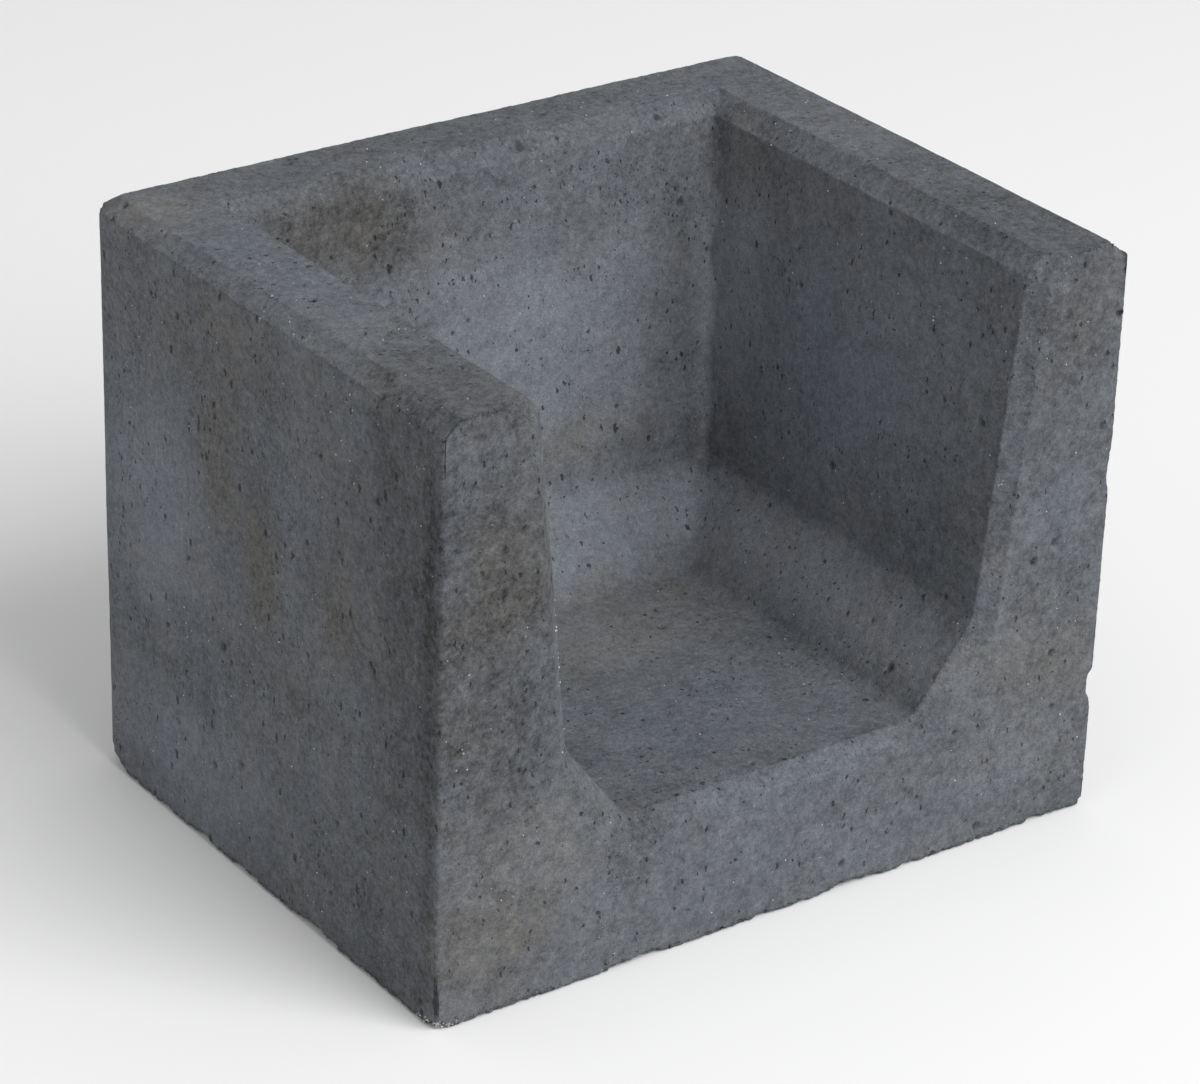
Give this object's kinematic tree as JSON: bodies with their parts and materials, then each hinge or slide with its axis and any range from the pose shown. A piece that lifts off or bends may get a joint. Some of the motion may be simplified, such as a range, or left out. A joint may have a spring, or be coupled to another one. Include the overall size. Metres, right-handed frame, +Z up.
{
  "type": "concrete block",
  "caption": "Cast dark grey concrete trough block, open at the top and front, with leaning inner walls, slanted facets down to a flat floor and bevels round the rim and mouth.",
  "frame": {"origin": "on the ground below the middle of the block", "axes": "+X along the width, +Y towards the closed back wall, +Z up; the open front faces -Y"},
  "size_m": [0.5, 0.395, 0.395],
  "materials": {
    "concrete": "dark grey earth-moist cast concrete, matt, with open pores, rough arrises and brownish and bluish patches"
  },
  "bodies": {
    "root": {"concrete_block": "concrete"}
  },
  "joints": []
}
